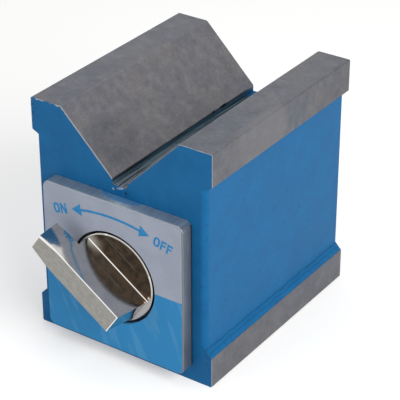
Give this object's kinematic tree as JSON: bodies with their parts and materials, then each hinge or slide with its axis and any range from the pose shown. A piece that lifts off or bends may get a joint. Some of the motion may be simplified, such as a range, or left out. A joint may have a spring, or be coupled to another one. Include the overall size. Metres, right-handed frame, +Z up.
{
  "type": "magnetic v block",
  "caption": "Block with a V groove along its top for round work, held by a magnet inside that a front knob turns on and off.",
  "frame": {"origin": "middle of the block's ground base", "axes": "+Z up out of the base, Y along the V groove with the knob at -Y, X across the groove"},
  "size_m": [0.06, 0.0865, 0.073],
  "materials": {
    "painted_iron": "blue paint, bare where ground",
    "painted_cap": "blue paint",
    "spacer_metal": "machined",
    "plate_metal": "satin",
    "label_foil": "printed film",
    "steel": "turned",
    "bronze": "turned",
    "nickel_plate": "bright plating",
    "rotor_cap_metal": "turned",
    "rotor_iron": "turned",
    "ferrite": "ground ferrite"
  },
  "bodies": {
    "block": {"left_pole": "painted_iron", "right_pole": "painted_iron", "upper_spacer": "spacer_metal", "lower_spacer": "spacer_metal", "front_plate": "plate_metal", "label": "label_foil", "plate_screws": "steel", "front_bush": "bronze", "rear_cap": "painted_cap", "rear_bush": "bronze", "thrust_washer": "steel"},
    "switch": {"knob": "nickel_plate", "knob_screw": "steel", "stop_pin": "steel", "spindle": "steel", "rotor_front_cap": "rotor_cap_metal", "rotor_rear_cap": "rotor_cap_metal", "left_segment": "rotor_iron", "right_segment": "rotor_iron", "front_magnet": "ferrite", "rear_magnet": "ferrite", "rotor_rivets": "bronze", "rear_trunnion": "steel"}
  },
  "joints": [
    {"name": "switch_turn", "type": "hinge", "parent": "block", "child": "switch", "pos_m": [0, -0.035, 0.0277], "axis": [0, 1, 0], "range_deg": [0, 90]}
  ]
}
